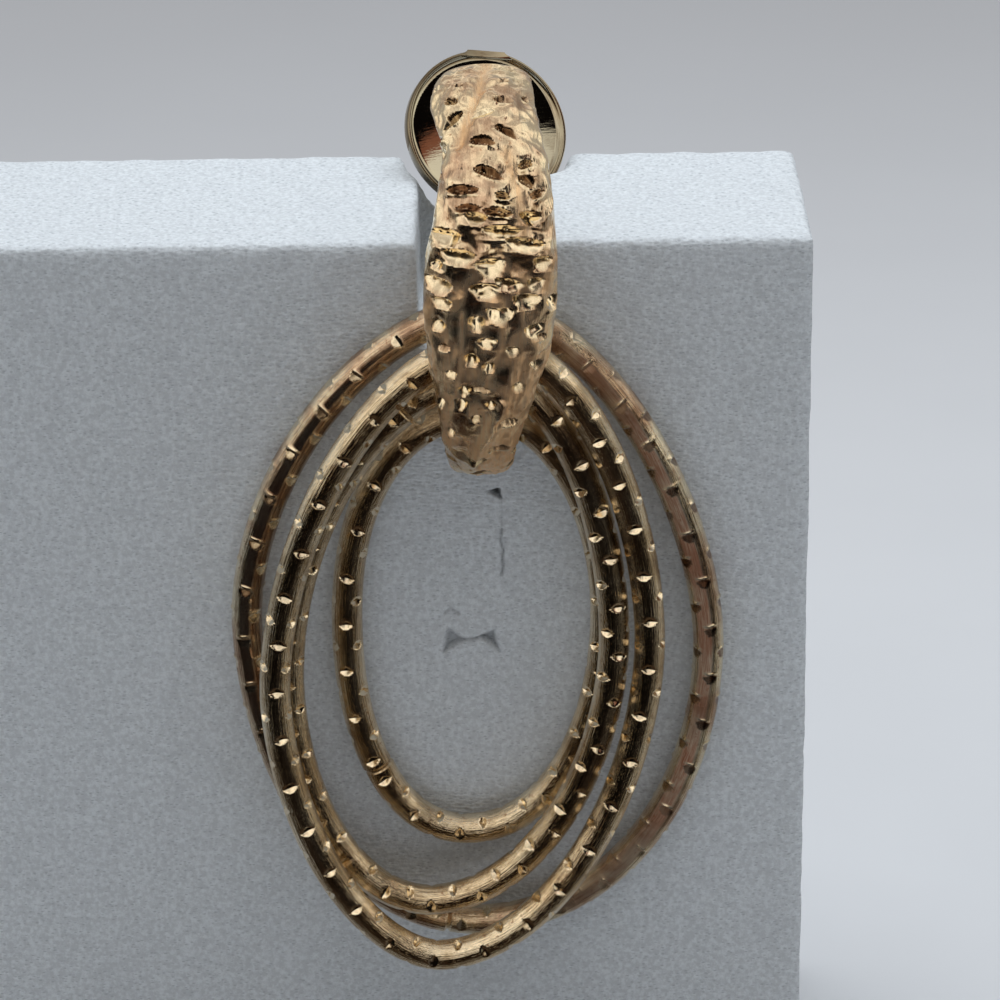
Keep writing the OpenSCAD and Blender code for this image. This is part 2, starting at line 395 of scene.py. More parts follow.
def tube_grid(name, rows, pitch):
    """A grid round the tube, closer in its nicks: the mesh, and each vertex's
    angle, step along, row, and way from its row's middle."""
    ramp = np.concatenate(
        [
            np.linspace(-pitch / 2, -NICK_REACH, 6)[:-1],
            np.linspace(-NICK_REACH, NICK_REACH, 11),
            np.linspace(NICK_REACH, pitch / 2, 6)[1:-1],
        ]
    )
    per_row = len(ramp)
    mesh, i, j = flat_grid(name + "_tube", AROUND, per_row * rows)
    row = np.minimum(j // per_row, rows - 1)
    within = np.minimum(j - row * per_row, per_row - 1)
    offset = np.where(j == per_row * rows, pitch / 2, ramp[within])
    return mesh, 360.0 * i / AROUND + 90, j, row, offset


def nick_tube(dice, outer, radius, turn, row, offset, downward):
    """Cuts three nicks in each row. Gives the new radius, how far each vertex
    is shifted along, where metal is bared, and the outer ring's burrs."""
    rows = len(downward)
    # the next row's nicks lie between them
    facing = -90 + 55 * (np.arange(rows) % 2) + np.cumsum(dice.normal(0, 1.5, rows)) - 4
    cut_turn = facing[:, None] + [0, 120, 240] + dice.uniform(-9, 9, (rows, 3))
    shallow, deepest = (0.10, 0.15) if outer else (0.19, 0.29)
    cut_deep = dice.uniform(shallow, deepest, (rows, 3))
    cut_shift = dice.uniform(-0.1, 0.1, (rows, 3))
    cut_tilt = dice.normal(0, 0.09, (rows, 3))
    shift, bare_and_painted_light, burrs = np.zeros((3, len(turn)))
    for n in range(3):
        away = (turn - cut_turn[row, n] + 180) % 360 - 180
        near = np.abs(away) < 60
        soft = np.where(near, np.cos(np.radians(1.5 * away)) ** 2, 0)
        shift += soft * (cut_shift[row, n] + cut_tilt[row, n] * np.sin(np.radians(away)) * TUBE_R)
        deep = cut_deep[row, n] * (1 - np.abs(offset) / NICK_REACH)
        flat = TUBE_R - deep + (0.55 if outer else 0.9) * np.radians(away) ** 2
        cut = near & (deep > 0) & (flat < radius)
        if outer:
            above, aside = (offset + 0.43 * downward[row]) / 0.11, np.radians(away) / 0.45
            burr = np.exp(-(above**2) - aside**2)
            radius = radius + 0.075 * burr
            burrs = np.maximum(burrs, burr)
        bare_and_painted_light = np.where(cut, 1.0, bare_and_painted_light)
        radius = np.where(cut, flat, radius)
    return radius, shift, bare_and_painted_light, burrs


def outer_notes(where, inward, end, at, bare_and_painted_light, burrs):
    """How bright the outer ring's metal is, where painted shade darkens it, and its
    copper skin: on its front, strongest on the right, while its sides are bright."""
    right = np.exp(-(((where - 275) / 62) ** 4))
    skin = np.clip((29 + 12 * (1 - right) - np.abs(inward - 13)) / 5, 0, 1)
    joint_end = np.exp(-((end / 3.0) ** 4))
    dull = skin * (0.10 + 0.74 * right) * (1 - joint_end) * (1 + 0.15 * wander(at, 5, 77))
    # burrs are worn bright and painted as highlights, and on the right the cuts are painted dark
    # inside as shade
    bare_and_painted_light = np.where(bare_and_painted_light > 0, 1 - 1.9 * right, 0.9 * np.clip(2.5 * burrs - 0.4, 0, 1))
    dull = np.clip(dull * (1 - 0.8 * np.abs(bare_and_painted_light)), 0, 1)
    # on the left all but its outer side is painted dark as shade
    left = np.exp(-(((where - 85) / 72) ** 4)) * (inward < 125)
    bare_and_painted_light = bare_and_painted_light - 0.9 * left * np.clip((inward + 28) / 6, 0, 1) * (1 - bare_and_painted_light)
    return bare_and_painted_light, dull


def ring_tube(name):
    """Round tube, cut all along with short cross nicks in staggered rows."""
    corners, roundness, joint, seed = RINGS[name]
    outer = name == "ring_outer"
    loop, run = wire_loop(corners, roundness, joint)

    def on_loop(far):
        """Places on the centre line, that far along it."""
        return np.stack([np.interp(far, run, loop[:, k]) for k in range(3)], axis=1)

    length = run[-1]
    rows = int(round(length / NICK_PITCH))
    pitch = length / rows
    mesh, turn, j, row, offset = tube_grid(name, rows, pitch)
    w = np.radians(turn)
    grain = np.stack([np.cos(w), np.sin(w), j / 60], axis=1)
    radius = TUBE_R * (1 + 0.007 * wander(grain, 2.2, seed))
    middle = (np.arange(rows) + 0.5) * pitch
    fall = on_loop(middle - 0.4)[:, 2] - on_loop(middle + 0.4)[:, 2]
    downward = np.clip(fall / 0.8, -1, 1)
    dice = np.random.RandomState(seed)
    radius, shift, bare_and_painted_light, burrs = nick_tube(dice, outer, radius, turn, row, offset, downward)

    # the cutter leaned: each nick's valley lies nearer its lower end, or on
    # the outer ring nearer its upper end, below a small burr
    low_side = (-0.15 if outer else 0.07) * downward
    hold = np.clip((pitch / 2 - np.abs(offset)) / (pitch / 2 - NICK_REACH), 0, 1)
    lean = low_side[row] * np.clip(1 - np.abs(offset) / NICK_REACH, 0, 1)
    s = (row + 0.5) * pitch + offset + lean + shift * hold
    # the butt joint: both ends of the tube are a little drawn in
    end = np.minimum(s, length - s)
    radius = radius - 0.2 * np.clip(1 - end / 0.16, 0, 1)
    s = np.clip(s, 0.02, length - 0.02)

    at = on_loop(s)
    ahead = on_loop((s + 0.15) % length) - on_loop((s - 0.15) % length)
    ahead /= np.linalg.norm(ahead, axis=1)[:, None]
    side = np.cross(ahead, [0, 1, 0])
    side /= np.linalg.norm(side, axis=1)[:, None]
    out = np.cross(side, ahead)
    points = at + radius[:, None] * (np.cos(w)[:, None] * side + np.sin(w)[:, None] * out)
    step = 0.07 * np.exp(-s / 1.2)
    points += step[:, None] * side
    put(mesh, (points + EAR) * MM)
    note(mesh, "grain", np.stack([np.cos(w), np.sin(w), s / 22], axis=1))
    dull = 0.12 * np.clip(wander(at, 9, seed + 1), 0, 1)
    if outer:
        where = np.interp(s, run, joint + np.arange(LOOP_STEPS + 1) * 360 / LOOP_STEPS) % 360
        inward = (turn + 90 + 180) % 360 - 180
        bare_and_painted_light, dull = outer_notes(where, inward, end, at, bare_and_painted_light, burrs)
    note(mesh, "cut", bare_and_painted_light)
    note(mesh, "matte", dull)

    bm = bmesh.new()
    bm.from_mesh(mesh)
    bmesh.ops.remove_doubles(bm, verts=bm.verts[:], dist=1e-7)
    ends = [e for e in bm.edges if e.is_boundary]
    bmesh.ops.bridge_loops(bm, edges=ends)
    return finish_mesh(bm, mesh, sharp=20)


# Front band

BAND_ROWS = np.array(
    [
        # station, middle, half width, arch
        [0.00, 0.09, 2.78, 0.50],
        [0.05, -0.05, 3.12, 0.65],
        [0.10, -0.09, 3.23, 0.80],
        [0.15, 0.18, 3.18, 0.85],
        [0.20, 0.49, 3.09, 0.90],
        [0.25, 0.65, 3.27, 0.90],
        [0.30, 0.60, 3.48, 0.95],
        [0.36, 0.52, 3.70, 1.00],
        [0.44, 0.33, 4.05, 1.00],
        [0.52, 0.23, 4.12, 1.00],
        [0.60, 0.09, 3.81, 1.00],
        [0.68, -0.16, 3.11, 0.95],
        [0.76, -0.40, 2.59, 0.85],
        [0.84, -0.53, 2.23, 0.75],
        [0.92, -0.53, 2.08, 0.65],
        [1.00, -0.53, 2.12, 0.60],
    ]
)
# Seen from the side: how far its tip is above and its foot below the place
# that stands out most, how far that is, and where tip and foot are
BAND_RISE, BAND_DROP, BAND_BULGE, TIP_Y, FOOT_Y = 11.35, 14.85, 9.8, 1.0, -1.5
BAND_WALL, BAND_ARCH = 0.9, 2.0
# Half the angle across its arch, and the grid's steps on the outside, on each
# rim, on the inside and along
SWEEP = math.radians(85)
OUTSIDE_STEPS, RIM_STEPS, INSIDE_STEPS, LENGTH_STEPS = 120, 4, 30, 460
CUT_STARTS = 0.01  # metal is bared where it is cut deeper than this
SMALL_MARKS = 110
PIXELS_ACROSS, PIXELS_DOWN = 14.6, 15.0  # to 1 mm on the band

# Grooves between the band's twisted strands and the ridges beside them, as
# places in the picture: depth in mm (a ridge is less than 0), width in mm
STRANDS = [
    (0.30, 0.50, [(487, 65), (478, 90), (468, 115), (459, 142)]),
    (0.22, 0.45, [(506, 153), (518, 175), (527, 198), (535, 235)]),
    (-0.16, 0.55, [(500, 290), (501, 320), (500, 350)]),
    (0.25, 0.50, [(500, 355), (495, 368), (488, 380), (475, 400)]),
    (-0.34, 0.34, [(503, 404), (492, 425), (482, 445), (473, 464)]),
    (0.20, 0.50, [(494, 400), (484, 420), (474, 440), (465, 456)]),
    (-0.15, 0.80, [(532, 350), (522, 380), (510, 410), (500, 440)]),
    (-0.15, 0.45, [(459, 341), (458, 360), (460, 382)]),
    (0.22, 0.55, [(478, 300), (474, 330), (472, 360), (462, 395)]),
    (0.18, 0.50, [(526, 360), (520, 385), (508, 420), (497, 452)]),
    (0.16, 0.50, [(470, 150), (462, 185), (452, 215), (446, 250)]),
]
# The edge of the lowest strand on the right, as places in the picture
LOW_STRAND_X, LOW_STRAND_Y = [552, 508, 503, 492, 482, 473], [345, 366, 404, 425, 445, 464]
LOW_STRAND_TOP, BROWN_FROM, BROWN_TO = 340, 235, 295
# Where the strands are worn to an orange or tan line: share, width in mm, places
WORN_LINES = [
    (0.80, 0.40, [(487, 65), (478, 90), (468, 115), (459, 142)]),
    (0.80, 0.40, [(506, 153), (515, 175), (520, 198), (522, 235)]),
    (1.00, 0.22, [(462, 313), (462, 341), (461, 369), (457, 390), (453, 404)]),
    (1.00, 0.26, [(503, 300), (503, 329), (501, 348), (497, 362), (490, 378), (484, 397)]),
    (0.90, 0.28, [(430, 300), (429, 325), (433, 350), (438, 380)]),
    (0.85, 0.45, [(445, 330), (448, 360), (447, 395), (446, 425)]),
    (0.85, 0.22, [(522, 300), (524, 330), (520, 350)]),
]
# Short cross cuts, as places in the picture: left, top, right, bottom. The
# first lot show their upper face, painted dark as shade, and have a slant as
# well: less than 0 falls to the right. The second lot show their bright lower face
UPPER_NICKS = [
    (442, 108, 462, 126, 0.5), (446, 93, 457, 107, -0.9), (492, 92, 512, 104, -0.15),
    (496, 120, 518, 138, -0.7), (470, 131, 494, 146, -0.35), (474, 161, 501, 178, -0.4),
    (446, 180, 478, 194, 0.0), (495, 189, 509, 198, -0.2), (519, 156, 533, 166, 0.4),
    (520, 171, 535, 187, -0.7), (530, 186, 544, 196, 0.4), (454, 200, 480, 211, 0.05),
    (484, 204, 512, 215, -0.1), (437, 341, 450, 349, 0.0), (471, 386, 490, 391, 0.0),
    (501, 415, 521, 427, -0.1), (488, 442, 510, 452, -0.05), (497, 76, 507, 81, 0.4),
    (455, 80, 463, 85, 0.0), (522, 92, 530, 101, -0.3), (434, 134, 446, 146, 0.1),
    (434, 168, 446, 180, 0.1), (536, 330, 548, 338, 0.0),
]
LOWER_NICKS = [
    (430, 231, 460, 248), (442, 252, 474, 267), (476, 261, 503, 283), (422, 280, 453, 295),
    (470, 287, 498, 304), (496, 281, 524, 293), (527, 280, 546, 295), (514, 296, 540, 312),
    (544, 297, 560, 311), (430, 300, 452, 311), (487, 310, 514, 328), (524, 326, 545, 342),
    (477, 340, 496, 351), (464, 359, 478, 370), (457, 390, 470, 402), (453, 402, 466, 416),
    (435, 400, 445, 410), (468, 320, 484, 336), (508, 240, 545, 254), (484, 228, 520, 240),
    (466, 214, 486, 226), (520, 214, 542, 226), (534, 258, 554, 272), (430, 262, 442, 271),
    (430, 322, 446, 334), (505, 348, 520, 358), (482, 366, 494, 376), (530, 362, 544, 372),
    (512, 385, 526, 395), (445, 372, 457, 381), (470, 418, 482, 426), (446, 430, 456, 438),
    (486, 404, 496, 412),
]


def crest(t):
    """The band's spine from its tip (0) to its foot (1), seen from the side."""
    q = np.where(t < 0.5, math.pi * t, math.pi * (t - 0.5))
    y = np.where(
        t < 0.5,
        -BAND_BULGE + (BAND_BULGE + TIP_Y) * (1 - np.sin(q)),
        -BAND_BULGE + (BAND_BULGE + FOOT_Y) * (1 - np.cos(q)),
    )
    z = np.where(t < 0.5, BAND_RISE * np.cos(q), -BAND_DROP * np.sin(q))
    return np.stack([y, z], axis=1)


def band_row(t):
    """Middle, half width and arch of the band at a station."""
    k = np.clip(np.searchsorted(BAND_ROWS[:, 0], t, side="right") - 1, 0, len(BAND_ROWS) - 2)
    a, b = BAND_ROWS[k], BAND_ROWS[k + 1]
    f = (t - a[:, 0]) / (b[:, 0] - a[:, 0])
    f = 0.5 * f * f * (3 - 2 * f) + 0.5 * f
    return a[:, 1:] + (b[:, 1:] - a[:, 1:]) * f[:, None]


def band_skin(t, angle, face):
    """Points of the band: face 0 is its outside, 1 its inside."""
    t = np.clip(t, 0, 1)
    middle, half, arch = band_row(t).T
    arch = BAND_ARCH * arch
    c = crest(t)
    v = crest(np.minimum(t + 0.01, 1)) - crest(np.maximum(t - 0.01, 0))
    v /= np.linalg.norm(v, axis=1)[:, None]
    n = np.stack([-v[:, 1], v[:, 0]], axis=1)
    half = half - face * BAND_WALL * 0.85
    rise = face * BAND_WALL + np.maximum(arch - face * BAND_WALL, 0.12) * (1 - np.cos(angle))
    x = middle + half * np.sin(angle)
    return np.stack([x, c[:, 0] + n[:, 0] * rise, c[:, 1] + n[:, 1] * rise], axis=1)


def near_line(points, line):
    """How far points lie from a line through several places, in mm."""
    best = np.full(len(points), 1e9)
    for a, b in zip(line[:-1], line[1:]):
        f = np.clip((points - a) @ (b - a) / ((b - a) @ (b - a)), 0, 1)
        best = np.minimum(best, np.linalg.norm(points - a - f[:, None] * (b - a), axis=1))
    return best


def band_grid():
    """A grid wrapped round the band's wall: the mesh, each vertex's station,
    angle and face, and whether it is on the outside."""
    start, end = OUTSIDE_STEPS + RIM_STEPS, OUTSIDE_STEPS + RIM_STEPS + INSIDE_STEPS
    across = end + RIM_STEPS
    mesh, i, j = flat_grid("front_band_shell", across, LENGTH_STEPS)
    outside = i <= OUTSIDE_STEPS
    angle = np.where(
        outside,
        SWEEP * (2 * i / OUTSIDE_STEPS - 1),
        SWEEP * (1 - 2 * np.clip((i - start) / INSIDE_STEPS, 0, 1)),
    )
    angle = np.where(i > end, -SWEEP, angle)
    rim = np.where(i < start, (i - OUTSIDE_STEPS) / RIM_STEPS, (across - i) / RIM_STEPS)
    inside = (i >= start) & (i <= end)
    face = np.where(outside, 0.0, np.where(inside, 1.0, np.clip(rim, 0, 1)))
    return mesh, j / LENGTH_STEPS, angle, face, outside


def on_band(t, angle):
    """One place on the band's outside."""
    return band_skin(t, angle, np.zeros(1))[0]


def steps_on_band(t, angle):
    """Unit steps along and across the band at one place on its outside."""
    way = on_band(t + 0.004, angle) - on_band(t - 0.004, angle)
    wide = on_band(t, angle + 0.03) - on_band(t, angle - 0.03)
    return way / np.linalg.norm(way), wide / np.linalg.norm(wide)


def band_finder():
    """Gives a function from a place in the picture to the band's station and
    angle there, by the nearest of many places on the band."""
    grid = np.meshgrid(np.linspace(0, 1, 500), np.linspace(-1.45, 1.45, 160))
    gt, ga = grid[0].ravel(), grid[1].ravel()
    seen = seen_at(band_skin(gt, ga, 0 * gt))

    def find(px, py):
        k = np.argmin((seen[:, 0] - px) ** 2 + (seen[:, 1] - py) ** 2)
        return gt[k : k + 1], ga[k : k + 1]

    return find


def beside(skin, line, find, width):
    """1 on a line through places in the picture, fading beside it."""
    path = np.array([on_band(*find(px, py)) for px, py in line])
    return np.exp(-((near_line(skin, path) / width) ** 2))


def add_small_marks(skin, dice, cut_all, bare_and_painted_light):
    """Small tool marks where no cut is listed, over the sides as well."""
    for _ in range(SMALL_MARKS):
        ct, ca = np.array([dice.uniform(0.02, 0.98)]), np.array([dice.uniform(-1.4, 1.4)])
        gap = skin - on_band(ct, ca)
        close = np.linalg.norm(gap, axis=1) < 1.2
        if cut_all[close].max(initial=0) > 0.05:
            continue
        way, wide = steps_on_band(ct, ca)
        a, b = gap @ way, gap @ wide
        half = dice.uniform(0.5, 0.8)
        hollow = dice.uniform(0.14, 0.24) * (1 - np.abs(a) / 0.4 - (b / half) ** 2)
        hollow = np.where(close, np.maximum(hollow, 0), 0)
        cut_all = np.maximum(cut_all, hollow)
        bare_and_painted_light = np.where(hollow > CUT_STARTS, 1.0, bare_and_painted_light)
    return cut_all, bare_and_painted_light


def cut_nicks(skin, find, deep):
    """The listed cross cuts and some small ones: how deep each vertex is cut,
    and whether it is bared bright or painted bright as a highlight on a burr
    (above 0), or painted dark as shade (below). Their burrs are taken off deep."""
    cut_all = np.zeros(len(skin))
    bare_and_painted_light = np.zeros(len(skin))
    dice = np.random.RandomState(21)
    for k, (left, top, right, bottom, *slant) in enumerate(UPPER_NICKS + LOWER_NICKS):
        leaning = k < len(UPPER_NICKS)
        ct, ca = find((left + right) / 2, (top + bottom) / 2 + 2 if leaning else top + 1)
        way, wide = steps_on_band(ct, ca)
        lean = slant[0] if leaning else dice.normal(0, 0.12)
        long = math.hypot(1, lean)
        way, wide = (way + lean * wide) / long, (wide - lean * way) / long
        gap = skin - on_band(ct, ca)
        close = np.linalg.norm(gap, axis=1) < 2.5
        tall = (bottom - top) / PIXELS_DOWN
        # the picture foreshortens the band's top, where it faces up
        tall *= 1.0 + 0.8 * max(0.0, 1 - float(ct[0]) / 0.3)
        half = (right - left) / 2 / PIXELS_ACROSS * long
        a, b = gap @ way, gap @ wide
        if leaning:
            # arched above, with a straighter lip below
            over = min(0.36 * tall, 0.42)
            deepest, under = max(1.2 * over, 0.28), 0.34
            slope = np.where(a < 0, -a / over, a / under)
            ends = np.abs(b / half) ** np.where(a > 0, 4, 2)
        else:
            # oval, and a little hollow
            deepest, over, under = min(0.62 * tall, 0.55), 0.26, max(tall * 0.85, 0.4)
            slope = np.where(a < 0, -a / over, a / under)
            slope = slope + 0.08 * np.sin(math.pi * np.clip(slope, 0, 1))
            ends = np.where(np.abs(b) < half, 1 - np.sqrt(np.clip(1 - (b / half) ** 2, 0, 1)), 2)
        hollow = np.where(close, np.maximum(deepest * (1 - slope - ends), 0), 0)
        # a burr is pushed up along the lower lip
        burr = np.exp(-(((a - under) / 0.14) ** 2) - (b / half) ** 4) * close
        deep -= 0.075 * burr
        cut_all = np.maximum(cut_all, hollow)
        # some are painted dark as shade under their upper edge, the others are bright bare metal
        painted_shade_and_bare = -0.65 - 0.35 * np.clip(-a / over, 0, 1) if leaning else np.ones(len(a))
        bare_and_painted_light = np.where(hollow > CUT_STARTS, painted_shade_and_bare * np.clip(hollow / 0.13, 0.3, 1), bare_and_painted_light)
        # the burr along the lower lip of those is painted bright as a highlight
        if leaning:
            bare_and_painted_light = np.where((burr > 0.5) & (hollow <= CUT_STARTS), 0.7, bare_and_painted_light)
    return add_small_marks(skin, dice, cut_all, bare_and_painted_light)


def band_shell():
    """Domed band of twisted strands, nicked all over, with a hollow back."""
    mesh, t, angle, face, outside = band_grid()
    skin = band_skin(t, angle, 0 * face)
    find = band_finder()
    # which way is out of the metal, for the cuts
    da = band_skin(t, angle + 0.01, 0 * face) - band_skin(t, angle - 0.01, 0 * face)
    dt = band_skin(t + 0.002, angle, 0 * face) - band_skin(t - 0.002, angle, 0 * face)
    normal = np.cross(dt, da)
    normal /= np.linalg.norm(normal, axis=1)[:, None]
    normal *= np.sign((normal @ [0, -1, 0]).mean())

    deep = np.zeros(len(t))
    for depth, width, line in STRANDS:
        deep += depth * beside(skin, line, find, width)
    # broad unevenness all over, and a finer one that is strongest on the top
    deep += 0.05 * wander(skin, 2.2, 5) + 0.08 * np.abs(wander(skin, 1.7, 7)) - 0.08
    on_top = np.clip((0.34 - t) / 0.12, 0.5, 1)
    deep += on_top * (0.03 * wander(skin, 0.9, 6) + 0.04 * np.abs(wander(skin, 0.8, 8)))
    # the lowest strand on the right is bronze and dull, in fine upright folds
    px, py = seen_at(skin).T
    edge = np.interp(py, LOW_STRAND_Y, LOW_STRAND_X)
    low_strand = np.clip((px - edge) / 5, 0, 1) * (py > LOW_STRAND_TOP)
    deep += 0.055 * low_strand * np.abs(wander(skin * [1, 1, 0.35], 0.75, 61))
    cut_all, bare_and_painted_light = cut_nicks(skin, find, deep)

    # cuts fade out at the rims and the ends
    fade = np.clip(np.minimum(t, 1 - t) / 0.02, 0, 1)
    fade *= np.clip((SWEEP - np.abs(angle)) / 0.12, 0, 1)
    deep = np.where(outside, (deep + cut_all) * fade, 0)
    put(mesh, (band_skin(t, angle, face) - normal * deep[:, None] + EAR) * MM)
    note(mesh, "grain", np.stack([skin[:, 0] / 2, angle, t * 3], axis=1))
    note(mesh, "cut", bare_and_painted_light * outside)
    # a brown skin in patches below, and along the worn lines
    brown = 0.5 * np.clip((py - BROWN_FROM) / (BROWN_TO - BROWN_FROM), 0, 1)
    brown *= np.clip(0.7 + 1.2 * wander(skin, 1.6, 51), 0, 1.8)
    for share, width, line in WORN_LINES:
        brown = np.maximum(brown, share * beside(skin, line, find, width))
    dull = np.maximum(0.06 + brown, 0.95 * low_strand) * (1 - 0.8 * np.abs(bare_and_painted_light))
    note(mesh, "matte", dull * outside)
    return mesh


def closed_band(mesh):
    """The band's shell with its seam joined and both ends filled."""
    bm = bmesh.new()
    bm.from_mesh(mesh)
    bmesh.ops.remove_doubles(bm, verts=bm.verts[:], dist=1e-7)
    bmesh.ops.holes_fill(bm, edges=[e for e in bm.edges if e.is_boundary])
    bmesh.ops.triangulate(bm, faces=[f for f in bm.faces if len(f.verts) > 4])
    return bm


# The pad's middle, how far it is from the pin, and the lean between them
PAD_Y, PAD_Z, PAD_REACH, PAD_LEAN = 15.3, 2.35, 17.5, math.radians(35)
HINGE_Y = PAD_Y - PAD_REACH * math.sin(PAD_LEAN)
HINGE_Z = PAD_Z - PAD_REACH * math.cos(PAD_LEAN)
EAR_PLATE, BORE_R = 0.65, 0.42


def add_box(bm, low, high, soften):
    """A box between two corners, with its edges rounded off."""
    made = bmesh.ops.create_cube(bm, size=1)["verts"]
    low, high = np.array(low), np.array(high)
    for v in made:
        v.co = Vector((low + high) / 2 + np.array(v.co) * (high - low))
    bmesh.ops.bevel(
        bm, geom=edges_at(made), offset=soften, segments=3, profile=0.5, affect="EDGES", material=-1
    )


def bracket(bm):
    """Strap and two ears that hold the pin, soldered inside the band's foot."""
    add_box(bm, (-1.15, -2.9, -14.0), (1.15, HINGE_Y - 1.4, -12.5), 0.12)
    turns = np.radians(np.linspace(142, -78, 23))
    outline = [(2.1, -12.55)] + [
        (HINGE_Y + 1.45 * math.cos(a), HINGE_Z + 1.45 * math.sin(a)) for a in turns
    ] + [(HINGE_Y + 0.25, -14.0), (3.9, -14.0), (2.1, -14.0)]
    for start in (-1.6, 0.95):
        rim = [bm.verts.new((start, y, z)) for y, z in outline]
        outer = [bm.edges.new((a, b)) for a, b in zip(rim, rim[1:] + rim[:1])]
        spot = Matrix.Translation((start, HINGE_Y, HINGE_Z)) @ Matrix.Rotation(math.pi / 2, 4, "Y")
        bore = bmesh.ops.create_circle(bm, segments=40, radius=BORE_R, matrix=spot)["verts"]
        plate = bmesh.ops.triangle_fill(
            bm, use_beauty=True, use_dissolve=False, edges=outer + edges_at(bore)
        )
        flat = [f for f in plate["geom"] if isinstance(f, bmesh.types.BMFace)]
        grown = bmesh.ops.extrude_face_region(bm, geom=flat, use_keep_orig=True)
        moved = [v for v in grown["geom"] if isinstance(v, bmesh.types.BMVert)]
        bmesh.ops.translate(bm, verts=moved, vec=(EAR_PLATE, 0, 0))


def front_band():
    """The band with its bracket, as one mesh."""
    bm = closed_band(band_shell())
    extra = bmesh.new()
    bracket(extra)
    bmesh.ops.recalc_face_normals(extra, faces=extra.faces[:])
    bmesh.ops.translate(extra, verts=extra.verts[:], vec=EAR)
    bmesh.ops.scale(extra, verts=extra.verts[:], vec=(MM, MM, MM))
    scrap = bpy.data.meshes.new("bracket")
    extra.to_mesh(scrap)
    extra.free()
    bmesh.ops.recalc_face_normals(bm, faces=bm.faces[:])
    bm.from_mesh(scrap)
    bpy.data.meshes.remove(scrap)
    mesh = bpy.data.meshes.new("front_band_metal")
    return finish_mesh(bm, mesh, sharp=24, outward=False)


# Paddle


def add_pad(bm):
    """The round pad: a dished mirror with a raised rim and a folded lip."""
    # its section, from the middle of its front to that of its back
    section = [
        (0.0, 0.00), (0.9, 0.012), (1.8, 0.045), (2.7, 0.095), (3.5, 0.165), (4.2, 0.25),
        (4.75, 0.325), (5.0, 0.37), (5.1, 0.43), (5.15, 0.50), (5.2, 0.56), (5.26, 0.59),
        (5.33, 0.595), (5.39, 0.57), (5.43, 0.52), (5.45, 0.42), (5.45, -0.2), (5.41, -0.3),
        (5.3, -0.345), (5.0, -0.35), (3.4, -0.35), (1.7, -0.35), (0.0, -0.35),
    ]
    verts = [bm.verts.new((r, -h, 0)) for r, h in section]
    edges = [bm.edges.new((a, b)) for a, b in zip(verts, verts[1:])]
    bmesh.ops.spin(
        bm, geom=verts + edges, cent=(0, 0, 0), axis=(0, 1, 0), dvec=(0, 0, 0),
        angle=math.tau, steps=112, use_merge=True, use_duplicate=False,
    )
    bmesh.ops.remove_doubles(bm, verts=bm.verts[:], dist=1e-5)
    # folded lip at the top of the pad
    before = set(bm.verts)
    add_box(bm, (-1.8, -0.62, 4.9), (1.8, 0.36, 5.42), 0.08)
    for v in bm.verts:
        if v not in before and v.co.z > 5.2:
            v.co.x *= 0.72
    twist = Matrix.Rotation(math.radians(16), 3, "Z")
    bmesh.ops.rotate(bm, verts=bm.verts[:], cent=(0, 0, 0), matrix=twist)
    bmesh.ops.translate(bm, verts=bm.verts[:], vec=(0, 0, PAD_REACH))


def add_neck(bm):
    """The neck between pad and pin, a little waisted."""
    before = set(bm.verts)
    add_box(bm, (-1.5, -0.35, 0.9), (1.5, 0.35, 12.8), 0.1)
    neck = [v for v in bm.verts if v not in before]
    along = [e for e in edges_at(neck) if e.calc_length() > 8]
    bmesh.ops.subdivide_edges(bm, edges=along, cuts=14, use_grid_fill=True)
    for v in bm.verts:
        if v in before:
            continue
        waist = math.exp(-(((v.co.z - 6.5) / 3.2) ** 2))
        foot = max(0, 1 - (v.co.z - 0.9) / 1.6)
        v.co.x *= 1 - 0.28 * waist - 0.42 * foot


def add_knuckle(bm):
    """The rolled knuckle about the pin."""
    barrel = [
        (0.45, -0.8), (0.5, -0.85), (1.12, -0.85), (1.2, -0.77),
        (1.2, 0.77), (1.12, 0.85), (0.5, 0.85), (0.45, 0.8),
    ]
    loop = [bm.verts.new((x, r, 0)) for r, x in barrel]
    ring = [bm.edges.new((a, b)) for a, b in zip(loop, loop[1:] + loop[:1])]
    bmesh.ops.spin(
        bm, geom=loop + ring, cent=(0, 0, 0), axis=(1, 0, 0), dvec=(0, 0, 0),
        angle=math.tau, steps=48, use_merge=True, use_duplicate=False,
    )


def clip_paddle():
    """Round spring clip, made upright on its pin and then leant back."""
    bm = bmesh.new()
    add_pad(bm)
    add_neck(bm)
    add_knuckle(bm)
    bmesh.ops.recalc_face_normals(bm, faces=bm.faces[:])
    # the rim is painted darker as a dark reflection, most of all on the left
    spots = np.array([v.co for v in bm.verts]) - [0, 0, PAD_REACH]
    rim = np.clip((np.hypot(spots[:, 0], spots[:, 2]) - 4.85) / 0.2, 0, 1) * (spots[:, 2] > -5.6)
    painted_rim_reflection = rim * (0.35 + 0.45 * np.clip(0.3 - spots[:, 0] / 4, 0, 1))
    lean = Matrix.Rotation(-PAD_LEAN, 3, "X")
    bmesh.ops.rotate(bm, verts=bm.verts[:], cent=(0, 0, 0), matrix=lean)
    bmesh.ops.translate(bm, verts=bm.verts[:], vec=Vector(EAR) + Vector((0, HINGE_Y, HINGE_Z)))
    bmesh.ops.scale(bm, verts=bm.verts[:], vec=(MM, MM, MM))
    mesh = finish_mesh(bm, bpy.data.meshes.new("clip_paddle_metal"), sharp=28, outward=False)
    note(mesh, "painted_rim_reflection", painted_rim_reflection)
    return mesh


# Foam block

FOAM_VOXEL = 0.42
# The marked part of the front face, from the middle of the earring
MARKED_X, MARKED_Z = (-4.9, 1.6), (-29.8, -15.3)


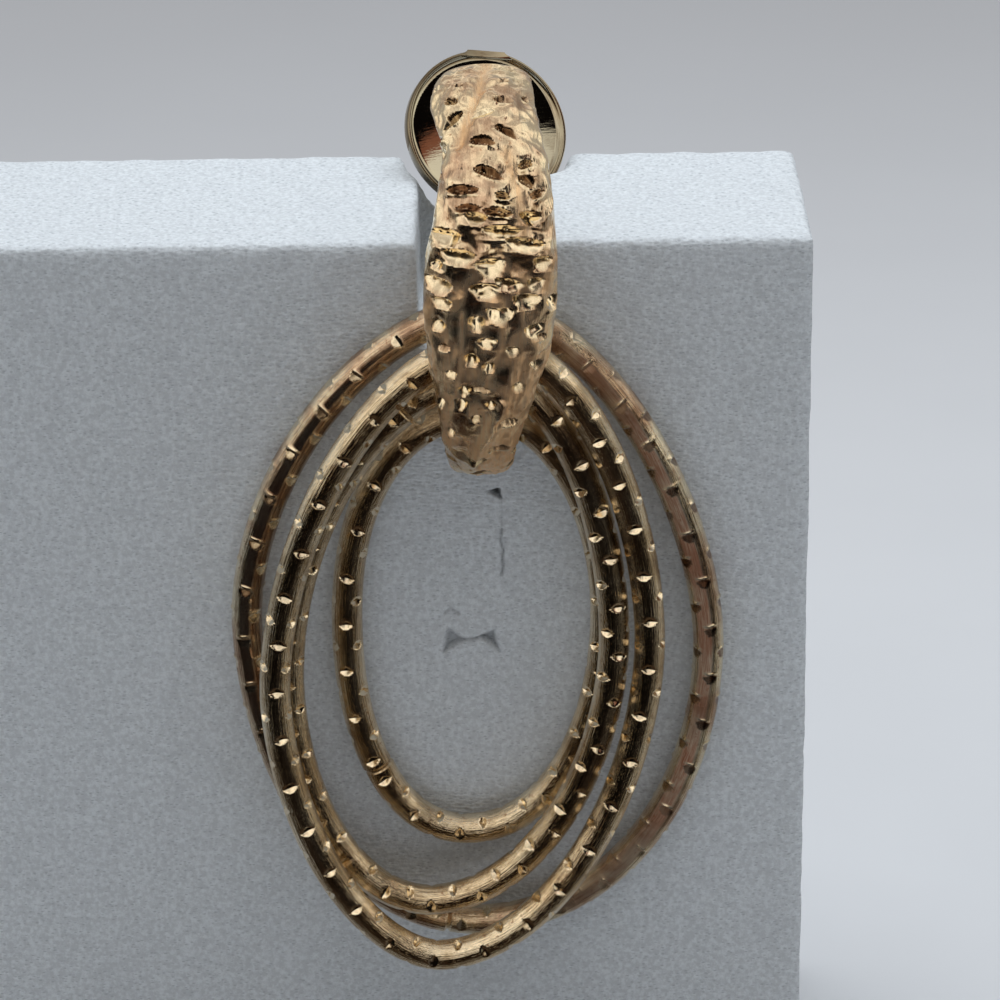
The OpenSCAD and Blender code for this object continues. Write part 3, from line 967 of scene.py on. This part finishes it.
def foam_blank():
    """The plain block on an even mesh, finer where the front face has marks,
    with its edges and its cut softened."""
    rough = bpy.data.meshes.new("display_block_foam")
    bm = bmesh.new()
    bm.from_mesh(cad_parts["display_block"].data)
    bmesh.ops.remove_doubles(bm, verts=bm.verts[:], dist=1e-6)
    bm.to_mesh(rough)
    bm.free()
    holder = bpy.data.objects.new("foam_shaping", rough)
    bpy.context.scene.collection.objects.link(holder)
    remesh = holder.modifiers.new("foam", "REMESH")
    remesh.mode = "VOXEL"
    remesh.voxel_size = FOAM_VOXEL * MM
    bpy.context.view_layer.update()
    shaped = holder.evaluated_get(bpy.context.evaluated_depsgraph_get())
    mesh = bpy.data.meshes.new_from_object(shaped)
    bpy.data.objects.remove(holder)
    mesh.name = "display_block_foam"

    bm = bmesh.new()
    bm.from_mesh(mesh)
    bmesh.ops.smooth_vert(
        bm, verts=bm.verts[:], factor=0.5, use_axis_x=True, use_axis_y=True, use_axis_z=True
    )
    # a finer mesh where the front face has marks
    marked = [
        e for e in bm.edges
        if all(
            abs(v.co.y - EAR[1] * MM) < 0.0003
            and MARKED_X[0] < v.co.x / MM - EAR[0] < MARKED_X[1]
            and MARKED_Z[0] < v.co.z / MM - EAR[2] < MARKED_Z[1]
            for v in e.verts
        )
    ]
    bmesh.ops.subdivide_edges(bm, edges=marked, cuts=3, use_grid_fill=True)
    bm.to_mesh(mesh)
    bm.free()
    return mesh


def mark_front(flat, front, push):
    """Old cuts and dents in the front face. Takes their depth off push, and
    gives how dark each vertex is painted, as shade in the cuts and dents."""
    dark = np.zeros(len(flat))

    def press(share, depth, shade):
        """Presses the front face in where share is above 0, and darkens it with painted shade."""
        share = np.where(front, np.clip(share, 0, 1), 0)
        push[:] -= depth * share
        dark[:] = np.maximum(dark, shade * share)

    def wedge(corners, edge, depth, shade):
        """A three-cornered dent with soft sides."""
        corners = np.array(corners, float)
        inside = np.full(len(flat), 1e9)
        for a, b in zip(corners, np.roll(corners, -1, axis=0)):
            way = (b - a) / np.linalg.norm(b - a)
            inside = np.minimum(inside, (flat - a) @ [way[1], -way[0]])
        press(inside / edge + 0.3, depth, shade)

    def crack(line, width, depth, shade):
        press(1 - near_line(flat, np.array(line, float)) / width, depth, shade)

    # a torn pit and the closed slit under the earring, painted dark inside as shade
    wedge([(-0.15, -16.97), (0.66, -16.78), (0.74, -17.5)], 0.16, 0.5, 0.9)
    crack([(0.72, -17.4), (0.78, -18.6), (0.72, -19.7)], 0.10, 0.06, 0.18)
    slit = [
        (0.75, -19.7), (0.65, -20.5), (0.84, -21.2), (0.74, -21.7), (0.80, -22.3), (0.68, -22.9),
    ]
    crack(slit, 0.12, 0.2, 0.55)
    # a round-ended cut painted dark inside as shade, its lower flap standing a little proud
    arc = np.array([
        (-3.14, -28.35), (-2.85, -27.95), (-2.3, -27.62), (-1.22, -27.45),
        (-0.5, -27.38), (0.0, -27.75), (0.45, -28.3),
    ])
    wedge([(-3.18, -28.4), (-2.92, -26.6), (-1.75, -27.5)], 0.3, 0.35, 0.42)
    wedge([(-0.95, -27.34), (0.16, -26.8), (0.46, -28.2)], 0.3, 0.35, 0.5)
    crack(arc, 0.16, 0.14, 0.35)
    below = (flat[:, 1] < np.interp(flat[:, 0], *arc.T)) & (np.abs(flat[:, 0] + 1.3) < 1.8)
    press(np.exp(-((near_line(flat, arc) - 0.25) / 0.35) ** 2) * below, -0.1, 0.0)
    crack([(-3.05, -25.62), (-2.66, -25.2), (-2.12, -25.67)], 0.16, 0.12, 0.35)
    wedge([(0.98, -18.3), (1.25, -18.1), (1.1, -18.45)], 0.1, 0.15, 0.35)
    return dark


def foam_block(finish):
    """Soft white foam with rounded edges, the clip's cut and old cut marks."""
    mesh = foam_blank()
    p = places(mesh) / MM - EAR
    push = 0.03 * wander(p, 3.0, 31) + 0.012 * wander(p, 1.1, 32)
    normals = np.empty(len(p) * 3)
    mesh.vertices.foreach_get("normal", normals)
    normals = normals.reshape(-1, 3)
    front = (np.abs(p[:, 1]) < 0.4) & (normals[:, 1] < -0.5)
    dark = mark_front(p[:, [0, 2]], front, push)
    put(mesh, places(mesh) + normals * push[:, None] * MM)
    note(mesh, "foam_painted_shade", dark)
    mesh.shade_smooth()
    return add_piece("display_block_foam", mesh, "block_and_band", "foam", finish, "display_block")


# Studio


def add_light(name, place, aim, wide, long, power, colour):
    """A soft oblong lamp that mirrors don't show."""
    lamp = bpy.data.lights.new(name, "AREA")
    lamp.shape = "RECTANGLE"
    lamp.size = wide * MM
    lamp.size_y = long * MM
    lamp.energy = power
    lamp.color = colour
    holder = bpy.data.objects.new(name, lamp)
    turn = (Vector(aim) - Vector(place)).to_track_quat("-Z", "Y").to_matrix().to_4x4()
    holder.matrix_world = Matrix.Translation(Vector(place) * MM) @ turn
    bpy.context.scene.collection.objects.link(holder)
    holder.visible_glossy = False


def make_floor():
    bm = bmesh.new()
    bmesh.ops.create_grid(bm, x_segments=4, y_segments=4, size=2.5)
    mesh = bpy.data.meshes.new("floor")
    bm.to_mesh(mesh)
    bm.free()
    floor = bpy.data.objects.new("floor", mesh)
    bpy.context.scene.collection.objects.link(floor)
    finish, tree, shader = start_finish("pale_floor")
    here = add_node(tree, "TexCoord").outputs["Object"]
    soft = mottle(tree, here, 30, 3)
    near = blend_colours(tree, spread(tree, soft, 0.3, 0.7), (0.67, 0.68, 0.70), (0.69, 0.70, 0.72))
    depth = add_node(tree, "SeparateXYZ", [(0, here)]).outputs["Y"]
    # painted shade: the floor darkens towards the back, where less light falls
    tone = blend_colours(tree, spread(tree, depth, 0.0, 0.3, 0.0, 0.8), near, (0.42, 0.42, 0.435))
    tree.links.new(tone, shader.inputs["Base Color"])
    shader.inputs["Roughness"].default_value = 0.9
    mesh.materials.append(finish)
    # the metal mirrors the darker room in front of the table, not the floor
    floor.visible_glossy = False


def make_light():
    add_light("top_light", (20, 80, 350), (10, 20, 0), 340, 300, 0.64, (0.88, 0.97, 1.06))


def make_room():
    """What the metal mirrors: a bright room above the dark table in front,
    dimmer overhead and behind, paler table at the sides, and a dark patch
    high on the right. Foam and floor are lit by a plain soft sky instead."""
    world = bpy.data.worlds.new("room")
    world.use_nodes = True
    bpy.context.scene.world = world
    room = world.node_tree
    way = add_node(room, "TexCoord").outputs["Generated"]
    x, y, z = add_node(room, "SeparateXYZ", [(0, way)]).outputs
    height = add_node(room, "MapRange", [(0, z), (1, -1.0), (2, 1.0)]).outputs[0]
    front = add_node(room, "ValToRGB", [(0, height)])
    bands = front.color_ramp.elements
    bands[0].position, bands[0].color = 0.0, (0.05, 0.035, 0.024, 1)
    bands[1].position, bands[1].color = 1.0, (0.38, 0.36, 0.33, 1)
    for at, colour in (
        (0.075, (0.04, 0.026, 0.017)),
        (0.19, (0.016, 0.010, 0.007)),
        (0.26, (0.003, 0.0025, 0.002)),
        (0.53, (0.004, 0.003, 0.0025)),
        (0.555, (0.13, 0.065, 0.035)),
        (0.60, (0.50, 0.42, 0.31)),
        (0.65, (0.98, 0.92, 0.81)),
        (0.80, (1.30, 1.23, 1.10)),
        (0.90, (1.00, 0.95, 0.86)),
        (0.97, (0.62, 0.59, 0.54)),
    ):
        made = bands.new(at)
        made.color = (*colour, 1)
    flat_way = add_node(room, "CombineXYZ", [(0, x), (1, y)]).outputs[0]
    flat_way = add_node(room, "VectorMath", [(0, flat_way)], operation="NORMALIZE").outputs[0]
    turned = add_node(room, "SeparateXYZ", [(0, flat_way)]).outputs["Y"]

    def both(first, second):
        return maths(room, "MULTIPLY", first, second)

    # a dim thing beyond the table gives the tubes a thin grey line
    gleam = maths(room, "ABSOLUTE", maths(room, "SUBTRACT", x, 0.53))
    gleam = both(spread(room, gleam, 0.04, 0.09, 0.9, 0.0), spread(room, z, -0.2, 0.0, 1.0, 0.0))
    seen = blend_colours(room, gleam, front.outputs[0], (0.075, 0.066, 0.06))
    rightward = spread(room, x, -0.3, 0.3)
    low_side = blend_colours(room, rightward, (0.15, 0.14, 0.12), (0.37, 0.345, 0.29))
    side = blend_colours(room, spread(room, z, 0.0, 0.15), low_side, (1.12, 1.06, 0.93))
    side = blend_colours(room, spread(room, y, 0.0, 0.5), side, (0.38, 0.37, 0.35))
    seen = blend_colours(room, spread(room, turned, -0.36, -0.22), seen, side)
    # the room above is uneven, brightest in a few soft patches
    patches = mottle(room, way, 2.6, 2, 0.5)
    patches = both(spread(room, patches, 0.40, 0.62, 0.0, 0.8), spread(room, z, 0.2, 0.4))
    patches = both(patches, spread(room, y, -0.45, 0.0))
    seen = blend_colours(room, patches, seen, (1.25, 1.18, 1.05))
    dim = spread(room, mottle(room, way, 6.5, 3, 0.55), 0.47, 0.58, 0.0, 0.62)
    dim = both(both(dim, spread(room, z, 0.3, 0.5)), spread(room, x, 0.4, 0.6, 1.0, 0.0))
    seen = blend_colours(room, dim, seen, (0.36, 0.27, 0.21))
    # the dark patch, with a slanting top and a reddish right half
    slant = maths(room, "MULTIPLY_ADD", x, 0.16, z)
    patch = both(spread(room, z, 0.36, 0.40), spread(room, slant, 0.795, 0.805, 1.0, 0.0))
    patch = both(patch, both(spread(room, x, 0.13, 0.17), spread(room, y, -0.1, 0.0, 1.0, 0.0)))
    ruddy = both(spread(room, x, 0.48, 0.52), spread(room, z, 0.645, 0.66))
    dark = blend_colours(room, ruddy, (0.004, 0.003, 0.003), (0.34, 0.14, 0.09))
    seen = blend_colours(room, patch, seen, dark)
    sky = blend_colours(room, spread(room, z, 0.35, 0.95), (0.05, 0.05, 0.05), (1.0, 1.0, 1.0))
    mirrored = add_node(room, "LightPath").outputs["Is Glossy Ray"]
    room.links.new(blend_colours(room, mirrored, sky, seen), room.nodes["Background"].inputs[0])
    room.nodes["Background"].inputs[1].default_value = 1.0


# The object

make_camera()
make_floor()
make_light()
make_room()
bpy.context.scene.view_settings.view_transform = "Standard"
gold = worked_metal(
    "old_gold", (0.92, 0.80, 0.60), (0.78, 0.62, 0.41), (0.16, 0.10, 0.06), (0.34, 0.16, 0.07),
    (0.55, 0.40, 0.26), (0.02, 0.10),
)
copper_gold = worked_metal(
    "coppery_gold", (0.90, 0.80, 0.60), (0.64, 0.46, 0.32), (0.18, 0.085, 0.05), (0.30, 0.11, 0.05),
    (0.31, 0.115, 0.055), (0.03, 0.12), skin_share=0.9,
)
band_gold = worked_metal(
    "band_gold", (0.95, 0.82, 0.58), (0.70, 0.50, 0.35), (0.15, 0.085, 0.05), (0.40, 0.19, 0.09),
    (0.92, 0.60, 0.33), (0.08, 0.24), 0.6, skin_share=0.3,
)
mirror_gold = polished_metal()

foam = foam_block(foam_finish())
for ring in RINGS:
    slot, finish = "gold_metal", gold
    if ring == "ring_outer":
        slot, finish = "copper_gold_metal", copper_gold
    add_piece(ring + "_tube", ring_tube(ring), "drop", slot, finish, ring)
add_piece("front_band_metal", front_band(), "block_and_band", "gold_metal", band_gold, "front_band")
add_piece("clip_paddle_metal", clip_paddle(), "clip", "pale_gold_metal", mirror_gold, "clip_paddle")
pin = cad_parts["hinge_pin"]
for spot in pin.material_slots:
    spot.material = mirror_gold
